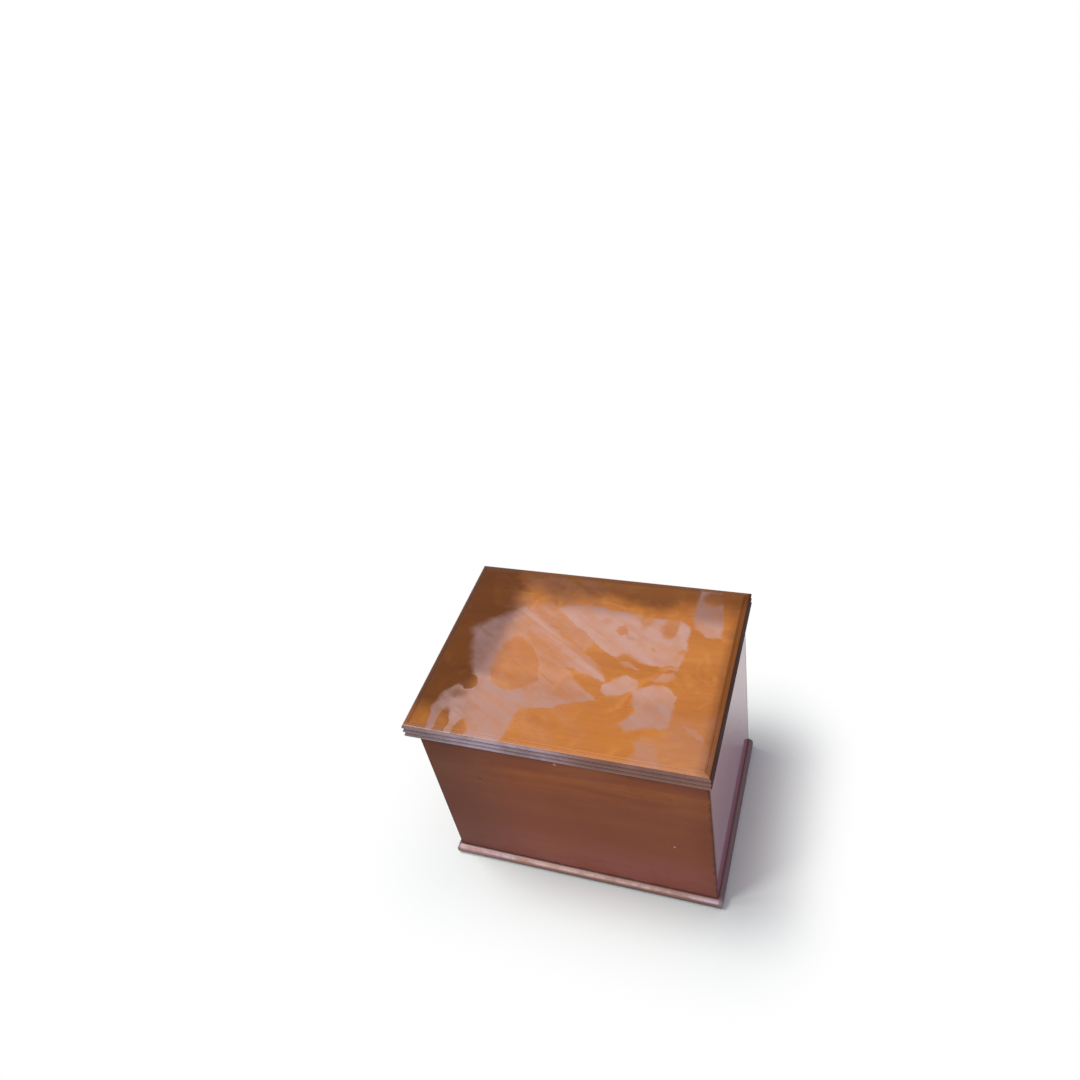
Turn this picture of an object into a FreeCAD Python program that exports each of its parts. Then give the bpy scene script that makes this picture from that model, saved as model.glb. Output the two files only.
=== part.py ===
import FreeCAD, Part
import os
import Sketcher

# A wooden box with a hinged lid, at its real size in millimetres.
# +X points to the right, +Y to the back and +Z up. The origin is on the floor, under the middle of the lid.
# Four boards stand on a round-edged base board. The lid overhangs them all round, with a reeded, mitred
# moulding on its four edges, and turns on two brass butt hinges let into the back panel and the lid.

SIZES = {
    "carcass_width": 390,
    "carcass_depth": 275,
    "carcass_height": 287,
    "wall": 12,
    "corner_lap": 4,
    "corner_round": 1,
    "block_leg": 24,
    "block_nose": 6,
    "block_drop": 20,
    "base_thick": 17,
    "base_lip": 7,
    "base_round": 7,
    "foot_round": 5,
    "lid_thick": 24,
    "front_overhang": 18,
    "side_overhang": 7,
    "back_overhang": 17,
    "moulding_width": 10,
    "reed_depth": 2.8,
    "quirk_inset": 7.3,
    "quirk_width": 0.8,
    "quirk_depth": 0.4,
    "hinge_inset": 80,
    "leaf_length": 50,
    "leaf_width": 10.5,
    "leaf_thick": 1.5,
    "leaf_gap": 0.2,
    "leaf_clearance": 0.1,
    "knuckle_radius": 2.75,
    "knuckle_clearance": 0.25,
    "knuckle_gap": 0.15,
    "pin_radius": 1.25,
    "pin_clearance": 0.05,
    "leaf_screw_radius": 1.2,
    "leaf_screw_head": 2.4,
    "leaf_screw_length": 11,
    "leaf_screw_pitch": 17,
    "base_screw_radius": 1.9,
    "base_screw_head": 3.8,
    "base_screw_length": 34,
    "base_screw_inset": 45,
    "screw_tip": 2.5,
    "screw_clearance": 0.05,
    "slot_width": 0.6,
    "slot_depth": 0.7,
}

# Counts and angles that the design fixes
REEDS = 3
KNUCKLES = 5
SCREWS_PER_LEAF = 3
HINGES = 2
SCREWS_PER_ROW = 3
SCREW_ROWS = 2
QUARTER_TURN = 90
HALF_TURN = 180
FULL_TURN = 360
COUNTERSINK = 90
ROUNDING = 1e-6

# Sizes and places worked out from the sheet
LID_WIDTH = "(sizes.carcass_width + 2 * sizes.side_overhang)"
LID_DEPTH = "(sizes.carcass_depth + sizes.front_overhang + sizes.back_overhang)"
FRONT_FACE = f"(sizes.front_overhang - {LID_DEPTH} / 2)"
BACK_FACE = f"({LID_DEPTH} / 2 - sizes.back_overhang)"
MID_DEPTH = f"(({FRONT_FACE} + {BACK_FACE}) / 2)"
LID_SEAT = "(sizes.base_thick + sizes.carcass_height)"
INNER_SIDE = "(sizes.carcass_width / 2 - sizes.wall)"
REED_PITCH = f"(sizes.lid_thick / {REEDS})"
REED_RADIUS = f"(({REED_PITCH} / 2)^2 / (2 * sizes.reed_depth) + sizes.reed_depth / 2)"
BARREL_ROOM = "(sizes.knuckle_radius + sizes.knuckle_clearance)"
HINGE_AXIS = f"({BACK_FACE} + {BARREL_ROOM})"
LEAF_REACH = f"(sizes.leaf_width + {BARREL_ROOM})"
LEAF_SEAT = "(sizes.leaf_thick + sizes.leaf_gap / 2)"
MORTISE_HALF = "(sizes.leaf_length / 2 + sizes.leaf_clearance)"
LEAF_HOLE = "(sizes.leaf_screw_radius + sizes.screw_clearance)"
BASE_HOLE = "(sizes.base_screw_radius + sizes.screw_clearance)"
BASE_SCREW_PITCH = "(sizes.carcass_width / 2 - sizes.base_screw_inset)"
HINGE_SPREAD = "(sizes.carcass_width - 2 * sizes.hinge_inset)"

V = FreeCAD.Vector
UP = V(0, 0, 1)
ALONG = V(1, 0, 0)

doc = FreeCAD.newDocument("wooden_box")
sheet = doc.addObject("Spreadsheet::Sheet", "sizes")
for row, (alias, size) in enumerate(SIZES.items(), start=1):
    sheet.set(f"A{row}", alias)
    sheet.set(f"B{row}", str(size))
    sheet.setAlias(f"B{row}", alias)
doc.recompute()

pieces = []


def value(expression):
    """The number that an expression of the sheet's sizes comes to."""
    return float(sheet.evalExpression(expression))


def new_piece(label, x="0", y="0", z="0", turn=0, about=UP):
    """An empty body that becomes one named piece of the box, with its own place and turn."""
    body = doc.addObject("PartDesign::Body", label)
    body.Label = label
    body.Placement = FreeCAD.Placement(V(), FreeCAD.Rotation(about, turn))
    for axis, place in zip("xyz", (x, y, z)):
        body.setExpression(f"Placement.Base.{axis}", place)
    pieces.append(body)
    return body


def origin_feature(body, role):
    return next(feature for feature in body.Origin.OriginFeatures if feature.Role == role)


def new_sketch(body, name, role="XY_Plane", offset="0"):
    """A sketch on one of the body's own origin planes, moved along its normal by offset."""
    sketch = body.newObject("Sketcher::SketchObject", name)
    sketch.AttachmentSupport = [(origin_feature(body, role), "")]
    sketch.MapMode = "FlatFace"
    sketch.setExpression("AttachmentOffset.Base.z", offset)
    return sketch


def bind(sketch, constraint, expression):
    index = sketch.addConstraint(constraint)
    sketch.setExpression(f"Constraints[{index}]", expression)


def pin(sketch, line, point, x, y):
    """Hold one point of a sketch line at x and y from the sketch's origin."""
    for kind, expression in (("DistanceX", x), ("DistanceY", y)):
        bind(sketch, Sketcher.Constraint(kind, -1, 1, line, point, value(expression)), expression)


def outline(sketch, corners, reeds=(), radius="0"):
    """A closed outline through corners. The sides numbered in reeds are arcs that swell to the right."""
    spots = [V(value(x), value(y), 0) for x, y in corners]
    first = sketch.GeometryCount
    count = len(corners)
    for side in range(count):
        start = spots[side]
        end = spots[(side + 1) % count]
        if side in reeds:
            middle = (start + end) / 2 + (end - start).cross(UP).normalize() * value("sizes.reed_depth")
            sketch.addGeometry(Part.Arc(start, middle, end))
        else:
            sketch.addGeometry(Part.LineSegment(start, end))
    for side in range(count):
        follower = first + (side + 1) % count
        sketch.addConstraint(Sketcher.Constraint("Coincident", first + side, 2, follower, 1))
    for side, (x, y) in enumerate(corners):
        pin(sketch, first + side, 1, x, y)
    for side in reeds:
        bind(sketch, Sketcher.Constraint("Radius", first + side, value(radius)), radius)


def rectangle(sketch, left, right, front, back):
    outline(sketch, [(left, front), (right, front), (right, back), (left, back)])


def circle(sketch, x, y, radius):
    ring = sketch.addGeometry(Part.Circle(V(value(x), value(y), 0), UP, value(radius)))
    pin(sketch, ring, 3, x, y)
    bind(sketch, Sketcher.Constraint("Radius", ring, value(radius)), radius)


def pad(body, sketch, length):
    """Raise a sketch along its normal."""
    feature = body.newObject("PartDesign::Pad", f"{sketch.Name}_pad")
    feature.Profile = sketch
    feature.setExpression("Length", length)
    doc.recompute()
    return feature


def require_cut(body, before, name):
    """Stop if a cut took nothing away."""
    if not body.Shape.Volume < before:
        raise RuntimeError(f"{body.Label}: {name} cuts nothing")


def pocket(body, sketch, depth=None, upward=False):
    """Cut a sketch into the body, or right through it where no depth is given."""
    before = body.Shape.Volume
    feature = body.newObject("PartDesign::Pocket", f"{sketch.Name}_cut")
    feature.Profile = sketch
    if depth is None:
        feature.Type = "ThroughAll"
        feature.Midplane = True
    else:
        feature.setExpression("Length", depth)
        feature.Reversed = upward
    doc.recompute()
    require_cut(body, before, sketch.Name)
    return feature


def countersunk_holes(body, sketch, radius, head, upward):
    """Screw holes right through the body, countersunk at the sketch's plane."""
    before = body.Shape.Volume
    doc.recompute()
    feature = body.newObject("PartDesign::Hole", f"{sketch.Name}_cut")
    feature.Profile = sketch
    doc.recompute()
    feature.ThreadType = "None"
    feature.DepthType = "ThroughAll"
    feature.HoleCutType = "Countersink"
    feature.HoleCutCustomValues = True
    feature.HoleCutCountersinkAngle = COUNTERSINK
    feature.Reversed = upward
    feature.setExpression("Diameter", f"2 * {radius}")
    feature.setExpression("HoleCutDiameter", f"2 * ({head} + sizes.screw_clearance)")
    doc.recompute()
    require_cut(body, before, sketch.Name)


def fillet(body, base, radius, chosen):
    """Round the edges of the last feature whose middle point passes the test chosen."""
    names = []
    for number, edge in enumerate(base.Shape.Edges, start=1):
        if chosen(edge.BoundBox.Center):
            names.append(f"Edge{number}")
    feature = body.newObject("PartDesign::Fillet", f"{body.Label}_round")
    feature.Base = (base, names)
    feature.setExpression("Radius", radius)
    doc.recompute()
    return feature


def same(first, second):
    """True where two lengths differ by no more than rounding."""
    return abs(first - second) < ROUNDING


def hinge_middles():
    """The middle of each hinge along the back."""
    return [f"-{HINGE_SPREAD} / 2", f"{HINGE_SPREAD} / 2"]


def leaf_screw_places(middle):
    """Where a leaf's screws stand along X, about the middle of the leaf."""
    first = -(SCREWS_PER_LEAF - 1) / 2
    return [f"{middle} + {first + place} * sizes.leaf_screw_pitch" for place in range(SCREWS_PER_LEAF)]


def base_screw_places():
    """Where a row of base screws stands along X."""
    first = -(SCREWS_PER_ROW - 1) / 2
    return [f"{first + place} * {BASE_SCREW_PITCH}" for place in range(SCREWS_PER_ROW)]


def base_board():
    """The floor of the box: a board whose front and side edges are worked round."""
    body = new_piece("base_board")
    half = "(sizes.carcass_width / 2 + sizes.base_lip)"
    front = f"({FRONT_FACE} - sizes.base_lip)"
    plan = new_sketch(body, "base_plan")
    rectangle(plan, f"-{half}", half, front, BACK_FACE)
    board = pad(body, plan, "sizes.base_thick")
    back = value(BACK_FACE)
    thick = value("sizes.base_thick")
    top = fillet(body, board, "min(sizes.base_round; sizes.base_lip)",
                 lambda middle: same(middle.z, thick) and not same(middle.y, back))
    fillet(body, top, "sizes.foot_round",
           lambda middle: same(middle.z, 0) and not same(middle.y, back))
    holes = new_sketch(body, "base_screw_holes")
    for y in (f"({FRONT_FACE} + sizes.wall / 2)", f"({BACK_FACE} - sizes.wall / 2)"):
        for x in base_screw_places():
            circle(holes, x, y, BASE_HOLE)
    countersunk_holes(body, holes, BASE_HOLE, "sizes.base_screw_head", upward=True)


def lapped_panel(label, face, turn):
    """A front or back board, rebated at both ends to lap over the sides, with pilot holes in its foot."""
    body = new_piece(label, y=face, z="sizes.base_thick", turn=turn)
    half = "(sizes.carcass_width / 2)"
    plan = new_sketch(body, "panel_plan")
    outline(plan, [
        (f"-{half}", "0"),
        (half, "0"),
        (half, "sizes.corner_lap"),
        (INNER_SIDE, "sizes.corner_lap"),
        (INNER_SIDE, "sizes.wall"),
        (f"-{INNER_SIDE}", "sizes.wall"),
        (f"-{INNER_SIDE}", "sizes.corner_lap"),
        (f"-{half}", "sizes.corner_lap"),
    ])
    board = pad(body, plan, "sizes.carcass_height")
    mid_height = value("sizes.carcass_height") / 2
    fillet(body, board, "sizes.corner_round",
           lambda middle: same(middle.y, 0) and same(middle.z, mid_height))
    pilots = new_sketch(body, "base_screw_pilots")
    for x in base_screw_places():
        circle(pilots, x, "sizes.wall / 2", BASE_HOLE)
    pocket(body, pilots, "sizes.base_screw_length - sizes.base_thick + sizes.screw_clearance", upward=True)
    return body


def back_panel():
    """The back board, with a mortise and pilot holes in its top edge for each hinge."""
    body = lapped_panel("back_panel", BACK_FACE, HALF_TURN)
    mortises = new_sketch(body, "hinge_mortises", offset="sizes.carcass_height")
    pilots = new_sketch(body, "leaf_screw_pilots", offset="sizes.carcass_height")
    for middle in hinge_middles():
        rectangle(mortises, f"{middle} - {MORTISE_HALF}", f"{middle} + {MORTISE_HALF}",
                  "0", "sizes.leaf_width + sizes.leaf_clearance")
        for x in leaf_screw_places(middle):
            circle(pilots, x, "sizes.leaf_width / 2", LEAF_HOLE)
    pocket(body, mortises, LEAF_SEAT)
    pocket(body, pilots, "sizes.leaf_screw_length + sizes.leaf_gap")


def side_board(label, x):
    """A plain side board between the laps of the front and back panels."""
    body = new_piece(label, x=x, y=MID_DEPTH, z="sizes.base_thick")
    half = "(sizes.carcass_depth / 2 - sizes.corner_lap)"
    plan = new_sketch(body, "side_plan")
    rectangle(plan, "-sizes.wall / 2", "sizes.wall / 2", f"-{half}", half)
    pad(body, plan, "sizes.carcass_height")


def corner_block(label, x, y, turn):
    """A glue block that stands in an inside corner, its free corner planed off."""
    body = new_piece(label, x=x, y=y, z="sizes.base_thick", turn=turn)
    plan = new_sketch(body, "block_plan")
    outline(plan, [
        ("0", "0"),
        ("sizes.block_leg", "0"),
        ("sizes.block_leg", "sizes.block_nose"),
        ("sizes.block_nose", "sizes.block_leg"),
        ("0", "sizes.block_leg"),
    ])
    pad(body, plan, "sizes.carcass_height - sizes.block_drop")


def lid_panel():
    """The field of the lid, with mortises, barrel recesses and pilot holes for the hinges in its underside."""
    body = new_piece("lid_panel", z=LID_SEAT)
    half_width = f"({LID_WIDTH} / 2 - sizes.moulding_width)"
    half_depth = f"({LID_DEPTH} / 2 - sizes.moulding_width)"
    plan = new_sketch(body, "lid_plan")
    rectangle(plan, f"-{half_width}", half_width, f"-{half_depth}", half_depth)
    pad(body, plan, "sizes.lid_thick")
    mortises = new_sketch(body, "lid_mortises")
    recesses = new_sketch(body, "barrel_recesses")
    pilots = new_sketch(body, "lid_screw_pilots")
    for middle in hinge_middles():
        left = f"{middle} - {MORTISE_HALF}"
        right = f"{middle} + {MORTISE_HALF}"
        rectangle(mortises, left, right, f"{BACK_FACE} - sizes.leaf_width - sizes.leaf_clearance", HINGE_AXIS)
        rectangle(recesses, left, right, BACK_FACE, f"{HINGE_AXIS} + {BARREL_ROOM}")
        for x in leaf_screw_places(middle):
            circle(pilots, x, f"{BACK_FACE} - sizes.leaf_width / 2", LEAF_HOLE)
    pocket(body, mortises, LEAF_SEAT, upward=True)
    pocket(body, recesses, BARREL_ROOM, upward=True)
    pocket(body, pilots, "sizes.leaf_screw_length + sizes.leaf_gap", upward=True)


def lid_moulding(label, length, x, y, turn):
    """One reeded edge of the lid: half-round reeds outside, a quirk on top, and both ends mitred."""
    body = new_piece(label, x=x, y=y, z=LID_SEAT, turn=turn)
    valley = "(sizes.moulding_width - sizes.reed_depth)"
    quirk = "(sizes.moulding_width - sizes.quirk_inset)"
    section = new_sketch(body, "reeded_section", "YZ_Plane")
    corners = [("0", "0")]
    corners += [(valley, f"{reed} * {REED_PITCH}") for reed in range(REEDS + 1)]
    corners += [
        (f"{quirk} + sizes.quirk_width / 2", "sizes.lid_thick"),
        (quirk, "sizes.lid_thick - sizes.quirk_depth"),
        (f"{quirk} - sizes.quirk_width / 2", "sizes.lid_thick"),
        ("0", "sizes.lid_thick"),
    ]
    outline(section, corners, reeds=range(1, REEDS + 1), radius=REED_RADIUS)
    pad(body, section, length)
    mitres = new_sketch(body, "mitres")
    width = "sizes.moulding_width"
    outline(mitres, [("0", "0"), (width, "0"), ("0", width)])
    outline(mitres, [(length, "0"), (length, width), (f"{length} - {width}", "0")])
    pocket(body, mitres)


def hinge_leaf(label, middle, plate_foot, gaps, screws_point_up):
    """One leaf of a butt hinge: a plate and its share of the knuckles, bored for the pin."""
    left = f"{middle} - sizes.leaf_length / 2"
    body = new_piece(label, x=left, y=f"{HINGE_AXIS} - {LEAF_REACH}", z=f"{LID_SEAT} - sizes.knuckle_radius")
    barrel = new_sketch(body, "barrel_section", "YZ_Plane")
    circle(barrel, LEAF_REACH, "sizes.knuckle_radius", "sizes.knuckle_radius")
    pad(body, barrel, "sizes.leaf_length")
    plate = new_sketch(body, "plate_section", "YZ_Plane")
    plate_top = f"{plate_foot} + sizes.leaf_thick"
    rectangle(plate, "0", LEAF_REACH, plate_foot, plate_top)
    pad(body, plate, "sizes.leaf_length")
    bore = new_sketch(body, "pin_bore", "YZ_Plane")
    circle(bore, LEAF_REACH, "sizes.knuckle_radius", "(sizes.pin_radius + sizes.pin_clearance)")
    pocket(body, bore)
    knuckle = f"(sizes.leaf_length / {KNUCKLES})"
    openings = new_sketch(body, "knuckle_gaps")
    for gap in gaps:
        start = "0" if gap == 0 else f"{gap} * {knuckle} - sizes.knuckle_gap"
        last = gap == KNUCKLES - 1
        end = "sizes.leaf_length" if last else f"{gap + 1} * {knuckle} + sizes.knuckle_gap"
        rectangle(openings, start, end, "sizes.leaf_width", f"{LEAF_REACH} + {BARREL_ROOM}")
    pocket(body, openings)
    holes = new_sketch(body, "leaf_screw_holes", offset=plate_foot if screws_point_up else plate_top)
    for x in leaf_screw_places("sizes.leaf_length / 2"):
        circle(holes, x, "sizes.leaf_width / 2", LEAF_HOLE)
    countersunk_holes(body, holes, LEAF_HOLE, "sizes.leaf_screw_head", upward=screws_point_up)


def hinge_pin(label, middle):
    """The pin that runs through all the knuckles of one hinge."""
    body = new_piece(label, x=f"{middle} - sizes.leaf_length / 2", y=HINGE_AXIS, z=LID_SEAT)
    section = new_sketch(body, "pin_section", "YZ_Plane")
    circle(section, "0", "0", "sizes.pin_radius")
    pad(body, section, "sizes.leaf_length")


def screw_group(label, place, size, turn, rows):
    """Slotted countersunk screws, alike, set out in rows. The head's face is at the body's origin."""
    x, y, z = place
    body = new_piece(label, x=x, y=y, z=z, turn=turn, about=ALONG)
    radius = f"sizes.{size}_radius"
    head = f"sizes.{size}_head"
    length = f"sizes.{size}_length"
    profile = new_sketch(body, "screw_profile", "XZ_Plane")
    outline(profile, [
        ("0", f"-{length}"),
        (radius, f"sizes.screw_tip - {length}"),
        (radius, f"{radius} - {head}"),
        (head, "0"),
        ("0", "0"),
    ])
    screw = body.newObject("PartDesign::Revolution", "screw_turning")
    screw.Profile = profile
    screw.ReferenceAxis = (profile, ["V_Axis"])
    screw.Angle = FULL_TURN
    doc.recompute()
    slot = new_sketch(body, "slot_section", "XZ_Plane")
    half_slot = "sizes.slot_width / 2"
    rectangle(slot, f"-{half_slot}", half_slot, "-sizes.slot_depth", "sizes.slot_depth")
    slot_cut = pocket(body, slot)
    group = body.newObject("PartDesign::MultiTransform", "screw_rows")
    group.Originals = [screw, slot_cut]
    patterns = []
    for role, count, reach in rows:
        pattern = body.newObject("PartDesign::LinearPattern", "screw_row")
        pattern.Direction = (origin_feature(body, role), [""])
        pattern.Occurrences = count
        pattern.setExpression("Length", reach)
        patterns.append(pattern)
    group.Transformations = patterns
    body.Tip = group
    doc.recompute()


def carcass():
    """The box itself: base, four boards and four glue blocks."""
    base_board()
    lapped_panel("front_panel", FRONT_FACE, 0)
    back_panel()
    side = "(sizes.carcass_width / 2 - sizes.wall / 2)"
    side_board("left_side", f"-{side}")
    side_board("right_side", side)
    front = f"{FRONT_FACE} + sizes.wall"
    back = f"{BACK_FACE} - sizes.wall"
    corners = [
        ("corner_block_front_left", f"-{INNER_SIDE}", front),
        ("corner_block_front_right", INNER_SIDE, front),
        ("corner_block_back_right", INNER_SIDE, back),
        ("corner_block_back_left", f"-{INNER_SIDE}", back),
    ]
    for turns, (label, x, y) in enumerate(corners):
        corner_block(label, x, y, turns * QUARTER_TURN)


def lid():
    """The lid: its field and the four mouldings round it."""
    lid_panel()
    half_width = f"({LID_WIDTH} / 2)"
    half_depth = f"({LID_DEPTH} / 2)"
    inner_width = f"({half_width} - sizes.moulding_width)"
    inner_depth = f"({half_depth} - sizes.moulding_width)"
    lid_moulding("lid_moulding_back", LID_WIDTH, f"-{half_width}", inner_depth, 0)
    lid_moulding("lid_moulding_left", LID_DEPTH, f"-{inner_width}", f"-{half_depth}", QUARTER_TURN)
    lid_moulding("lid_moulding_front", LID_WIDTH, half_width, f"-{inner_depth}", HALF_TURN)
    lid_moulding("lid_moulding_right", LID_DEPTH, inner_width, half_depth, -QUARTER_TURN)


def hinges():
    """Two butt hinges, each of two leaves and a pin, and the screws that hold their leaves."""
    below_joint = "(sizes.knuckle_radius - sizes.leaf_gap / 2 - sizes.leaf_thick)"
    above_joint = "(sizes.knuckle_radius + sizes.leaf_gap / 2)"
    odd = range(1, KNUCKLES, 2)
    even = range(0, KNUCKLES, 2)
    for side, middle in zip(("left", "right"), hinge_middles()):
        hinge_leaf(f"back_leaf_{side}", middle, below_joint, odd, screws_point_up=False)
        hinge_leaf(f"lid_leaf_{side}", middle, above_joint, even, screws_point_up=True)
        hinge_pin(f"hinge_pin_{side}", middle)
    first = f"-{HINGE_SPREAD} / 2 - {(SCREWS_PER_LEAF - 1) / 2} * sizes.leaf_screw_pitch"
    line = f"{BACK_FACE} - sizes.leaf_width / 2"
    rows = [
        ("X_Axis", SCREWS_PER_LEAF, f"{SCREWS_PER_LEAF - 1} * sizes.leaf_screw_pitch"),
        ("X_Axis", HINGES, HINGE_SPREAD),
    ]
    below = (first, line, f"{LID_SEAT} - sizes.leaf_gap / 2")
    above = (first, line, f"{LID_SEAT} + sizes.leaf_gap / 2")
    screw_group("back_leaf_screws", below, "leaf_screw", 0, rows)
    screw_group("lid_leaf_screws", above, "leaf_screw", HALF_TURN, rows)


def base_screws():
    """Screws up through the base board into the feet of the front and back panels."""
    corner = (f"-{BASE_SCREW_PITCH}", f"{BACK_FACE} - sizes.wall / 2", "0")
    rows = [
        ("X_Axis", SCREWS_PER_ROW, f"{SCREWS_PER_ROW - 1} * {BASE_SCREW_PITCH}"),
        ("Y_Axis", SCREW_ROWS, "sizes.carcass_depth - sizes.wall"),
    ]
    screw_group("base_screws", corner, "base_screw", HALF_TURN, rows)


def check():
    """Stop if any object failed, or a piece has no sound shape."""
    doc.recompute()
    for item in doc.Objects:
        if "Invalid" in item.State or "Error" in item.State:
            raise RuntimeError(f"{item.Label}: {item.State}")
    for piece in pieces:
        if piece.Shape.isNull() or not piece.Shape.isValid():
            raise RuntimeError(f"{piece.Label} has no sound shape")


def write():
    os.makedirs("parts", exist_ok=True)
    for piece in pieces:
        piece.Shape.exportStep(f"parts/{piece.Label}.step")
        print(piece.Label, len(piece.Shape.Solids), round(piece.Shape.Volume, 1))


carcass()
base_screws()
lid()
hinges()
check()
write()
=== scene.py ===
import math

import bpy
from mathutils import Matrix, Vector


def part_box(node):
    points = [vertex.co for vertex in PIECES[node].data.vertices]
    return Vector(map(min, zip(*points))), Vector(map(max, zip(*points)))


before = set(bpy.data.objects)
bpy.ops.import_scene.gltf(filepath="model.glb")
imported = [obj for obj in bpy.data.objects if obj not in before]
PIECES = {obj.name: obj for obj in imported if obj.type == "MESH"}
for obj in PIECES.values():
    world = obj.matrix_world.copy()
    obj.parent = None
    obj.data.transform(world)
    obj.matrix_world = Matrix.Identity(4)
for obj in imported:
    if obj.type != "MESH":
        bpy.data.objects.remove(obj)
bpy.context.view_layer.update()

# The finishes of a polished mahogany box with a hinged, reeded lid, in metres in the part's own frame

VECTOR = "NodeSocketVector"
VALUE = "NodeSocketFloat"
WHITE = (1.0, 1.0, 1.0, 1.0)


def paint(red, green, blue):
    """A colour as a painter reads it off a card, 0 to 255, for a shader socket."""
    def linear(part):
        part /= 255
        return part / 12.92 if part <= 0.04045 else ((part + 0.055) / 1.055) ** 2.4
    return (linear(red), linear(green), linear(blue), 1.0)


class Bench:
    """The nodes of one finish, laid out and joined."""

    def __init__(self, tree):
        self.tree = tree

    def join(self, source, socket):
        """Link a socket to another, or set it to a plain value."""
        if isinstance(source, bpy.types.NodeSocket):
            self.tree.links.new(source, socket)
        else:
            socket.default_value = source

    def lay(self, kind, joins=None, **settings):
        """A new node with its settings made and its inputs joined."""
        node = self.tree.nodes.new(kind)
        for name, setting in settings.items():
            setattr(node, name, setting)
        for socket, source in (joins or {}).items():
            self.join(source, node.inputs[socket])
        return node

    def reckon(self, operation, first, second=0.0, clamp=False):
        joins = {0: first, 1: second}
        return self.lay("ShaderNodeMath", joins, operation=operation, use_clamp=clamp).outputs[0]

    def chain(self, operation, values):
        result = values[0]
        for value in values[1:]:
            result = self.reckon(operation, result, value)
        return result

    def times(self, *values):
        return self.chain("MULTIPLY", values)

    def most(self, *values):
        return self.chain("MAXIMUM", values)

    def least(self, *values):
        return self.chain("MINIMUM", values)

    def plus(self, first, second, clamp=False):
        return self.reckon("ADD", first, second, clamp)

    def minus(self, first, second):
        return self.reckon("SUBTRACT", first, second)

    def vector(self, operation, first, second=(0, 0, 0)):
        node = self.lay("ShaderNodeVectorMath", {0: first, 1: second}, operation=operation)
        return node.outputs["Value" if operation in ("LENGTH", "DOT_PRODUCT") else "Vector"]

    def turned(self, vector, angles, stretch):
        """The place turned by Euler angles in radians, then stretched."""
        joins = {"Vector": vector, "Rotation": angles}
        node = self.lay("ShaderNodeVectorRotate", joins, rotation_type="EULER_XYZ")
        return self.vector("MULTIPLY", node.outputs[0], stretch)

    def parts(self, vector):
        return self.lay("ShaderNodeSeparateXYZ", {0: vector}).outputs

    def blend(self, share, first, second):
        """The first colour where share is 0 and the second where it is 1."""
        joins = {0: share, 6: first, 7: second}
        return self.lay("ShaderNodeMix", joins, data_type="RGBA").outputs[2]

    def tone(self, share, colour, tint):
        """The colour multiplied by the tint where share is 1."""
        joins = {0: share, 6: colour, 7: tint}
        return self.lay("ShaderNodeMix", joins, data_type="RGBA", blend_type="MULTIPLY").outputs[2]

    def ease(self, value, low, high, foot=0.0, head=1.0):
        """Foot below low, head above high, and a smooth run between."""
        joins = {"Value": value, "From Min": low, "From Max": high, "To Min": foot, "To Max": head}
        return self.lay("ShaderNodeMapRange", joins, interpolation_type="SMOOTHSTEP").outputs["Result"]

    def noise(self, vector, scale, detail=2.0, rough=0.5, twist=0.0, seed=None):
        """A soft pattern from 0 to 1, and with a seed one of its own for each piece."""
        joins = {"Vector": vector, "Scale": scale, "Detail": detail, "Roughness": rough, "Distortion": twist}
        node = self.lay("ShaderNodeTexNoise", noise_dimensions="3D" if seed is None else "4D")
        if seed is not None:
            joins["W"] = seed
        for socket, source in joins.items():
            self.join(source, node.inputs[socket])
        return node.outputs["Fac"]

    def wander(self, vector, scale, reach):
        """A soft shift to and fro, by half the reach at most."""
        return self.times(self.minus(self.noise(vector, scale, detail=3, rough=0.6), 0.5), reach)

    def effect(self, group, takes):
        """A node group placed with its own values."""
        node = self.tree.nodes.new("ShaderNodeGroup")
        node.node_tree = group
        for name, source in takes.items():
            self.join(source, node.inputs[name])
        return node.outputs


def new_group(name, takes, gives):
    """An empty node group with named sockets: its tree, its bench, what comes in and what goes out."""
    group = bpy.data.node_groups.new(name, "ShaderNodeTree")
    for label, kind in takes:
        group.interface.new_socket(name=label, in_out="INPUT", socket_type=kind)
    for label in gives:
        group.interface.new_socket(name=label, in_out="OUTPUT", socket_type=VALUE)
    came_in = group.nodes.new("NodeGroupInput").outputs
    goes_out = group.nodes.new("NodeGroupOutput").inputs
    return group, Bench(group), came_in, goes_out


# Waves in a metre of wood, along the grain and across it
FIGURE_WAVES = (3.2, 26, 26)
STREAK_WAVES = (8, 320, 320)
PORE_WAVES = (100, 2300, 2300)


def make_board_grain():
    """Grain along the first axis: broad figure, fine streaks and open pores."""
    group, bench, came_in, goes_out = new_group(
        "board_grain", [("Along", VECTOR), ("Seed", VALUE)], ["Figure", "Streaks", "Pores"])
    along, seed = came_in["Along"], came_in["Seed"]
    broad = bench.vector("MULTIPLY", along, FIGURE_WAVES)
    fine = bench.vector("MULTIPLY", along, STREAK_WAVES)
    finest = bench.vector("MULTIPLY", along, PORE_WAVES)
    figure = bench.noise(broad, 1, detail=3, rough=0.55, twist=0.7, seed=seed)
    streaks = bench.noise(fine, 1, detail=4, rough=0.6, twist=0.2, seed=seed)
    pores = bench.noise(finest, 1, detail=1, seed=seed)
    bench.join(bench.ease(figure, 0.3, 0.7), goes_out["Figure"])
    bench.join(bench.ease(streaks, 0.25, 0.75), goes_out["Streaks"])
    bench.join(bench.ease(pores, 0.6, 0.72), goes_out["Pores"])
    return group


# Waves in a metre of a worn edge, and how narrow and wide they make the wear
EDGE_WAVES = 85
EDGE_NARROW, EDGE_WIDE = 0.25, 1.6


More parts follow.
